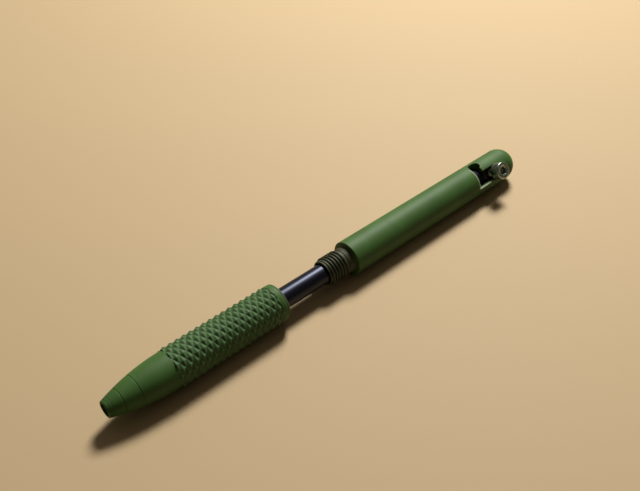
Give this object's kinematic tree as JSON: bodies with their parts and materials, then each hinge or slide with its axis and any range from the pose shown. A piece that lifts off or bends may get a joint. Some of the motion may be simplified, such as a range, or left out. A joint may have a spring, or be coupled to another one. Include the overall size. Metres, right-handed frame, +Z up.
{
  "type": "bolt action pen",
  "caption": "Slim bolt action pen with a knurled screw-on grip, a J-slot bolt with a socket screw handle and a sprung refill, stored opened up with the grip drawn off.",
  "frame": {"origin": "on the pen's axis, at the barrel's front shoulder", "axes": "+X along the axis towards the domed rear end, +Z up as the pen lies on a table"},
  "size_m": [0.154, 0.0142, 0.0127],
  "materials": {
    "printed_green": "satin printed plastic with fine layer lines",
    "printed_black": "matte",
    "screw_steel": "plain steel, lightly oiled",
    "spring_steel": "drawn wire",
    "ink_tube": "glossy",
    "ink": "wet",
    "grease": "wet",
    "point_steel": "polished"
  },
  "bodies": {
    "barrel": {"barrel": "printed_green"},
    "bolt": {"bolt_plunger": "printed_black", "bolt_screw": "screw_steel"},
    "refill": {"refill_tube": "ink_tube", "refill_tail_plug": "printed_black", "ink_column": "ink", "ink_follower": "grease", "tip_holder": "printed_black", "metal_point": "point_steel"},
    "ball": {"writing_ball": "point_steel"},
    "spring": {"return_spring": "spring_steel"},
    "grip": {"grip_section": "printed_green"}
  },
  "joints": [
    {"name": "bolt_slide", "type": "slide", "parent": "barrel", "child": "bolt", "axis": [-1, 0, 0], "range_m": [0, 0.0064]},
    {"name": "refill_slide", "type": "slide", "parent": "barrel", "child": "refill", "axis": [-1, 0, 0], "range_m": [0, 0.0064]},
    {"name": "ball_roll", "type": "hinge", "parent": "refill", "child": "ball", "pos_m": [-0.05138, 0, 0], "axis": [0, 1, 0], "continuous": true},
    {"name": "grip_slide", "type": "slide", "parent": "barrel", "child": "spring", "axis": [1, 0, 0], "range_m": [0, 0.02591], "deforming": ["return_spring"]},
    {"name": "grip_turn", "type": "hinge", "parent": "spring", "child": "grip", "pos_m": [0, 0, 0], "axis": [1, 0, 0], "range_deg": [0, 8883.4]}
  ],
  "couplings": [
    {"joint": "refill_slide", "follows": "bolt_slide", "ratio": 1},
    {"joint": "grip_turn", "follows": "grip_slide", "rad_per_m": 5984}
  ]
}
